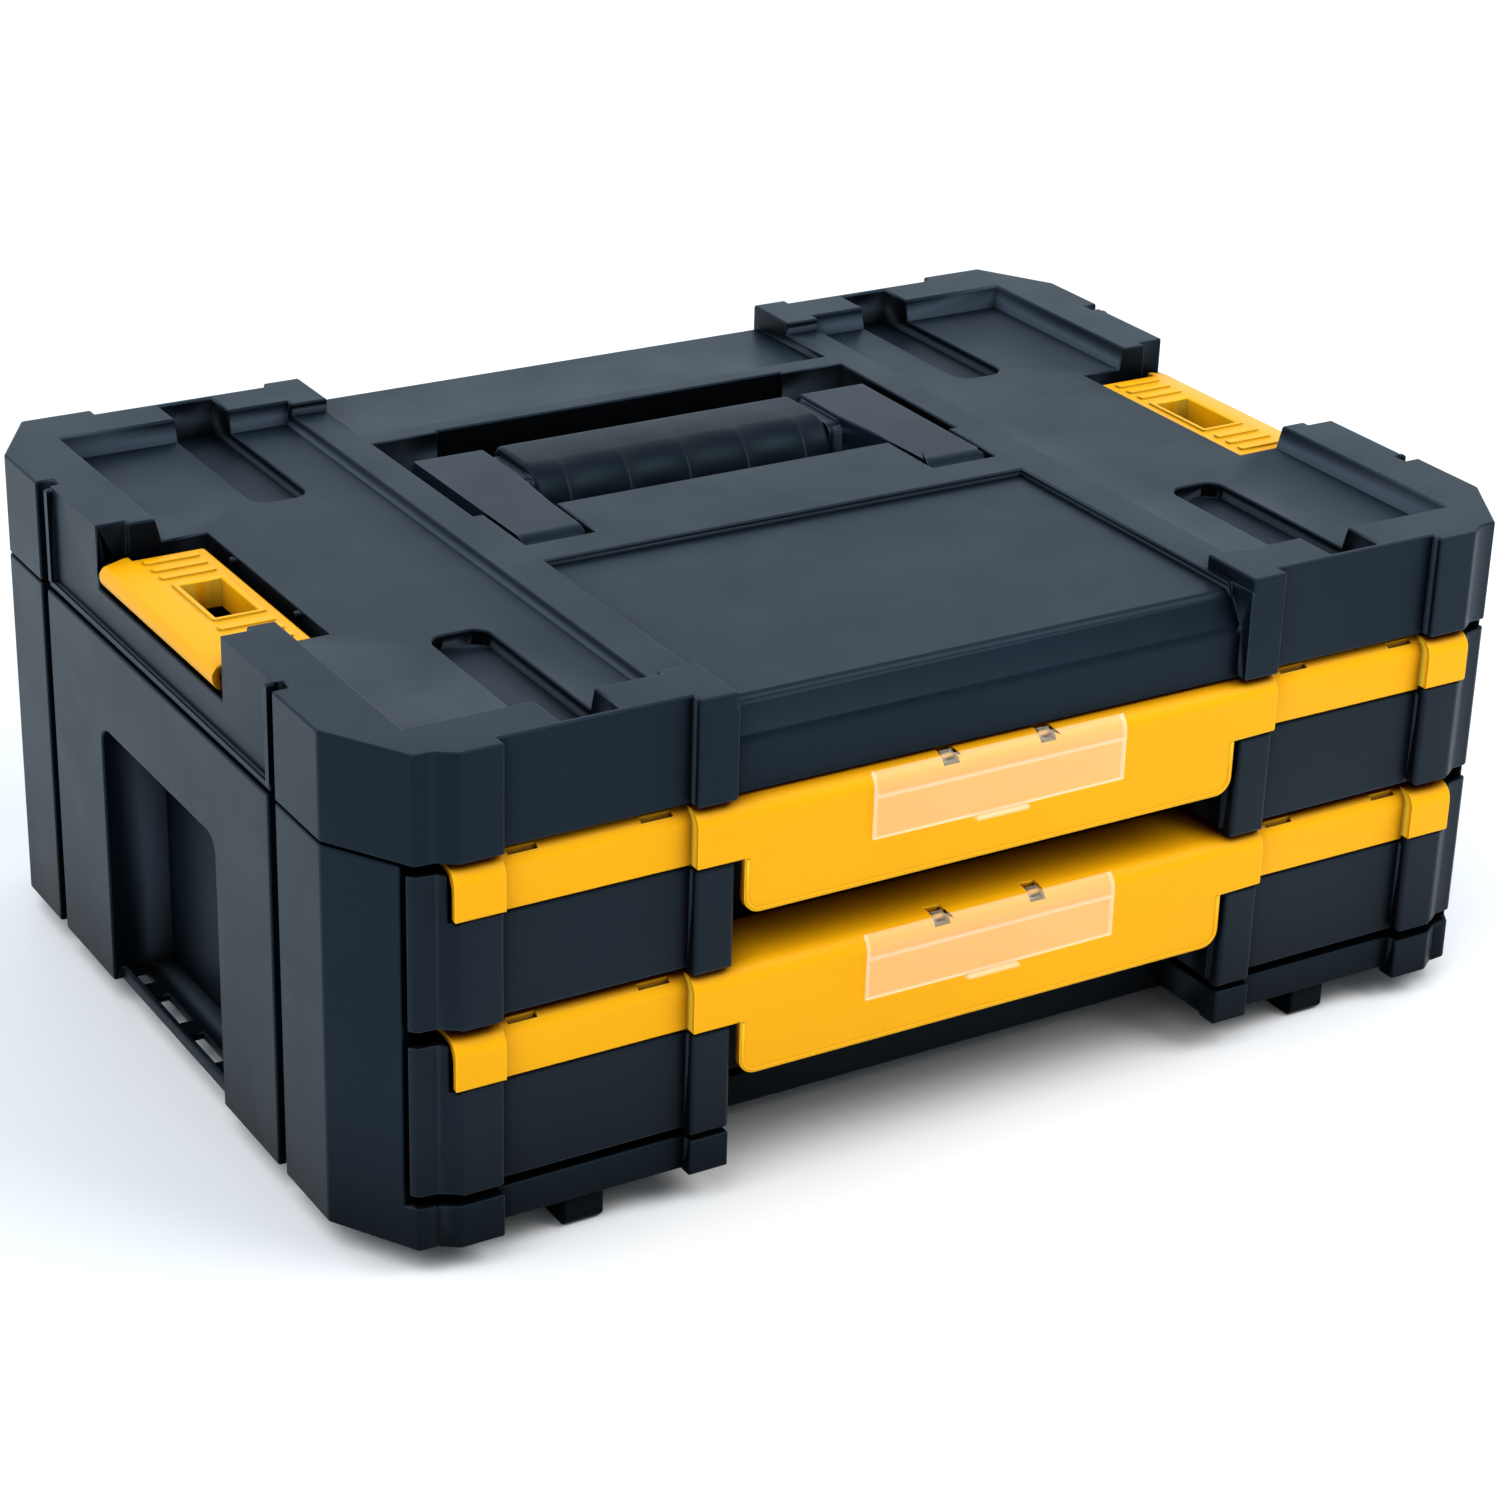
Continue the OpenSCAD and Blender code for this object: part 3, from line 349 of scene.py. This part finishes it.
def room_in_face(edge, face):
    """Width of a face beside one of its edges: how far its outline is over the edge's length."""
    start = edge.verts[0].co
    along = edge.verts[1].co - start
    length = along.length
    along = along / length
    inward = face.normal.cross(along)
    for loop in face.loops:
        if loop.edge is edge and (loop.link_loop_next.vert.co - loop.vert.co).dot(along) < 0:
            inward = -inward
    room = 1.0
    for loop in face.loops:
        if loop.edge is edge:
            continue
        ends = []
        for corner in (loop.vert.co, loop.link_loop_next.vert.co):
            offset = corner - start
            ends.append((offset.dot(along), offset.dot(inward)))
        (t0, s0), (t1, s1) = ends
        low, high = -SLACK, length + SLACK
        if max(t0, t1) < low or min(t0, t1) > high:
            continue
        if edge.verts[0] in loop.edge.verts or edge.verts[1] in loop.edge.verts:
            far = max(s0, s1)
            if far > 0.01 * MM:
                room = min(room, far)
            continue
        for t_cut in (low, high):
            if (t0 - t_cut) * (t1 - t_cut) < 0:
                s_cut = s0 + (s1 - s0) * (t_cut - t0) / (t1 - t0)
                if s_cut > 0:
                    room = min(room, s_cut)
        for t, s in ends:
            if low <= t <= high and s > 0:
                room = min(room, s)
    return room


def on_seam(edge):
    """Upright edges of the seam between the base and a side wall's foot, which stay sharp."""
    return all(math.hypot(abs(vert.co.x) - SEAM_AT[0], vert.co.y - SEAM_AT[1]) < 0.4 * MM
               for vert in edge.verts)


def weigh_edges(mesh, radius, widest, soft_lines):
    """Bevel weights: full on sharp outer edges, less where the faces beside an edge are narrow.

    Edges on a soft line, given as (y, z, radius), get that larger radius.
    """
    weights = mesh.edges.layers.float.new("bevel_weight_edge")
    for edge in mesh.edges:
        if len(edge.link_faces) != 2 or not edge.is_convex or on_seam(edge):
            continue
        if edge.calc_face_angle(0.0) < SHARP_ANGLE:
            continue
        room = min(room_in_face(edge, face) for face in edge.link_faces)
        wanted = radius
        for y, z, soft_radius in soft_lines:
            if all(math.hypot(vert.co.y - y, vert.co.z - z) < SLACK for vert in edge.verts):
                wanted = soft_radius
        edge[weights] = min(wanted, ROOM_SHARE * room) / widest
    many = [face for face in mesh.faces if len(face.verts) > 4]
    bmesh.ops.triangulate(mesh, faces=many, quad_method="BEAUTY", ngon_method="BEAUTY")


def moulded(node, radius=0.9 * MM, segments=3, soft_lines=()):
    """A round-edged copy of a CAD node, which stands for it and rides on its body."""
    widest = max([radius] + [line[2] for line in soft_lines])
    mesh = bmesh.new()
    mesh.from_mesh(frame["nodes"][node].data)
    weld_and_clean(mesh)
    weigh_edges(mesh, radius, widest, soft_lines)
    piece = new_piece(node + "_moulded", mesh)
    bevel = piece.modifiers.new("round_edges", "BEVEL")
    bevel.limit_method = "WEIGHT"
    bevel.width = widest
    bevel.segments = segments
    bevel.use_clamp_overlap = False
    bevel.loop_slide = False
    normals = piece.modifiers.new("normals", "WEIGHTED_NORMAL")
    normals.keep_sharp = True
    finish_with(piece, SLOT_MATERIAL[NODE_SLOT[node]])
    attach(piece, NODE_BODY[node])
    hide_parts(node)
    if NODE_SLOT[node] == "clear_plastic":
        piece.visible_shadow = False     # clear, so it shades nothing behind it


# Upper and lower edge of the slope before the name panel: y, z and radius
PANEL_SLOPE = ((-0.1483, 0.169, 0.0035), (-0.1545, 0.157, 0.002))

moulded("lid", segments=4, soft_lines=PANEL_SLOPE)
for name in ("left_side", "right_side", "rear_wall", "base_tray"):
    moulded(name)
for level in LEVELS:
    moulded(level + "_tub", radius=0.7 * MM)
    moulded(level + "_front", radius=1.6 * MM)
    moulded(level + "_fascia", radius=1.2 * MM)
    moulded(level + "_label_window", radius=0.3 * MM, segments=2)
    for side in SIDES:
        for part in ("divider", "cross"):
            moulded("_".join((level, side, part)), radius=0.5 * MM, segments=2)
for side in SIDES:
    moulded(side + "_latch")
moulded("handle_bail", radius=1.4 * MM, segments=4)

# ---------------------------------------------------------------- lips of the pulls

PULL_HALF_WIDTH = 93.8 * MM
PULL_HEIGHT = 18.8 * MM       # from its lower edge to the strip's
LIP_RADIUS = 0.75 * MM
LIP_INSET = 1.1 * MM          # from the pull's edge to the lip's middle
LIP_DEPTH = 0.35 * MM         # from the pull's face back to the lip's middle
LIP_SIDES = 12                # corners of the lip's round cross-section
PULL_CORNER = 6.0 * MM
CORNER_STEPS = 8


def make_pull_lip(level):
    """Bead along the side and lower edges of a pull's face."""
    low, high = (Vector(corner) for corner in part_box(level + "_fascia"))
    half, top = PULL_HALF_WIDTH - LIP_INSET, low.z + PULL_HEIGHT
    bottom, turn = low.z + LIP_INSET, PULL_CORNER - LIP_INSET
    path = [(-half, top)]
    for middle_x, start in ((-half + turn, 180), (half - turn, 270)):
        for i in range(CORNER_STEPS + 1):
            angle = math.radians(start + 90 * i / CORNER_STEPS)
            path.append((middle_x + turn * math.cos(angle), bottom + turn + turn * math.sin(angle)))
    path.append((half, top))
    mesh = bmesh.new()
    rings = []
    for i, (x, z) in enumerate(path):
        before, after = path[max(i - 1, 0)], path[min(i + 1, len(path) - 1)]
        along = Vector((after[0] - before[0], 0, after[1] - before[1])).normalized()
        across = along.cross(Vector((0, 1, 0)))
        middle = Vector((x, low.y + LIP_DEPTH, z))
        ring = []
        for j in range(LIP_SIDES):
            angle = math.tau * j / LIP_SIDES
            outward = math.cos(angle) * across + Vector((0, math.sin(angle), 0))
            ring.append(mesh.verts.new(middle + LIP_RADIUS * outward))
        rings.append(ring)
    skin_over(mesh, rings)
    lip = new_piece(level + "_pull_lip", mesh)
    finish_with(lip, yellow_plastic)
    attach(lip, NODE_BODY[level + "_fascia"])


for level in LEVELS:
    make_pull_lip(level)

# ---------------------------------------------------------------- grip

GRIP_STATIONS = 160           # cross-sections along the grip
RIDGE_PITCH = 24.0 * MM       # from one finger ridge to the next
RIDGE_HEIGHT = 3.0 * MM
RIDGE_FULLNESS = 0.65         # under 1 makes the hollows wide and the ridges narrow
GRIP_END_ROUND = 1.6 * MM
GRIP_BACK_ROUND = 5.0 * MM
GRIP_FRONT_ROUND = 15.0 * MM
GRIP_UNDER_ROUND = 8.0 * MM


def grip_outline(low, high):
    """Points of the grip's cross-section: a flat top and a full rounded front.

    Each is (y, z, share of the finger ridges there).
    """
    points = []

    def corner(y, z, radius, start, end, count, share_start, share_end):
        for i in range(count + 1):
            angle = math.radians(start + (end - start) * i / count)
            share = share_start + (share_end - share_start) * i / count
            points.append((y + radius * math.cos(angle), z + radius * math.sin(angle), share))

    back, front, under = GRIP_BACK_ROUND, GRIP_FRONT_ROUND, GRIP_UNDER_ROUND
    corner(high.y - back, high.z - back, back, 0, 90, 8, 0.0, 0.0)
    corner(low.y + front, high.z - front, front, 90, 180, 18, 0.0, 1.0)
    corner(low.y + under, low.z + under, under, 180, 270, 10, 1.0, 0.2)
    corner(high.y - under, low.z + under, under, 270, 360, 10, 0.2, 0.0)
    return points


def make_grip():
    low, high = (Vector(corner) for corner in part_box("handle_grip"))
    outline = grip_outline(low, high)
    middle = (low + high) / 2
    mesh = bmesh.new()
    rings = []
    for i in range(GRIP_STATIONS + 1):
        x = low.x + (high.x - low.x) * i / GRIP_STATIONS
        hollow = abs(math.sin(math.pi * x / RIDGE_PITCH)) ** RIDGE_FULLNESS
        from_end = min(x - low.x, high.x - x)
        tuck = 0.0
        if from_end < GRIP_END_ROUND:
            tuck = GRIP_END_ROUND - math.sqrt(GRIP_END_ROUND ** 2 - (GRIP_END_ROUND - from_end) ** 2)
        ring = []
        for y, z, share in outline:
            outward = Vector((0, y - middle.y, z - middle.z))
            inset = tuck + RIDGE_HEIGHT * share * hollow
            place = outward - outward.normalized() * inset
            ring.append(mesh.verts.new((x, middle.y + place.y, middle.z + place.z)))
        rings.append(ring)
    skin_over(mesh, rings)
    grip = new_piece("grip_with_finger_ridges", mesh, flat_ends=True)
    finish_with(grip, grip_rubber)
    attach(grip, "handle")
    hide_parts("handle_grip")


make_grip()

for name, thing in frame["nodes"].items():
    finish_with(thing, SLOT_MATERIAL[NODE_SLOT[name]])

# ---------------------------------------------------------------- studio


def make_floor():
    bpy.ops.mesh.primitive_plane_add(size=12.0)
    floor = bpy.context.object
    floor.name = "studio_floor"
    shader = Shader("studio_floor")
    shader.join(shader.ramp(shader.noise(3.0), [(0.3, (0.90, 0.90, 0.90)), (0.7, (0.92, 0.92, 0.92))]),
                shader.surface.inputs["Base Color"])
    shader.surface.inputs["Roughness"].default_value = 0.85
    finish_with(floor, shader.material)


def make_light(name, at, towards, size, watts):
    data = bpy.data.lights.new(name, "AREA")
    data.shape = "RECTANGLE"
    data.size, data.size_y = size
    data.energy = watts
    light = bpy.data.objects.new(name, data)
    light.location = at
    light.rotation_euler = (Vector(towards) - Vector(at)).to_track_quat("-Z", "Y").to_euler()
    scene.collection.objects.link(light)


def make_sun(name, towards, strength, spread):
    data = bpy.data.lights.new(name, "SUN")
    data.energy, data.angle = strength, math.radians(spread)
    light = bpy.data.objects.new(name, data)
    light.rotation_euler = Vector(towards).to_track_quat("-Z", "Y").to_euler()
    scene.collection.objects.link(light)


def make_world(front, back):
    """A plain, slightly cool white surround; its strength goes from front to back of the object."""
    world = bpy.data.worlds.new("studio")
    world.use_nodes = True
    nodes, links = world.node_tree.nodes, world.node_tree.links
    direction = nodes.new("ShaderNodeTexCoord")
    split = nodes.new("ShaderNodeSeparateXYZ")
    strength = nodes.new("ShaderNodeMapRange")
    for end, value in (("From Min", -0.7), ("From Max", 0.7), ("To Min", front), ("To Max", back)):
        strength.inputs[end].default_value = value
    links.new(direction.outputs["Generated"], split.inputs["Vector"])
    links.new(split.outputs["Y"], strength.inputs["Value"])
    links.new(strength.outputs["Result"], nodes["Background"].inputs["Strength"])
    nodes["Background"].inputs["Color"].default_value = (0.87, 0.99, 1.10, 1.0)
    scene.world = world


make_floor()
make_world(front=0.25, back=1.15)
make_sun("key_top_left", towards=(0.5, 0.2, -0.84), strength=1.5, spread=50)
make_light("softbox_front_right", at=(0.75, -0.85, 1.25), towards=(0, -0.05, 0.1), size=(0.9, 0.9), watts=15)
make_light("fill_front", at=(0.1, -1.9, 1.0), towards=(0, 0, 0.08), size=(1.6, 1.0), watts=2)
make_light("fill_left_floor", at=(-1.5, 0.1, 1.3), towards=(-0.55, 0.0, 0), size=(1.2, 1.2), watts=1)
scene.view_settings.view_transform = "Standard"
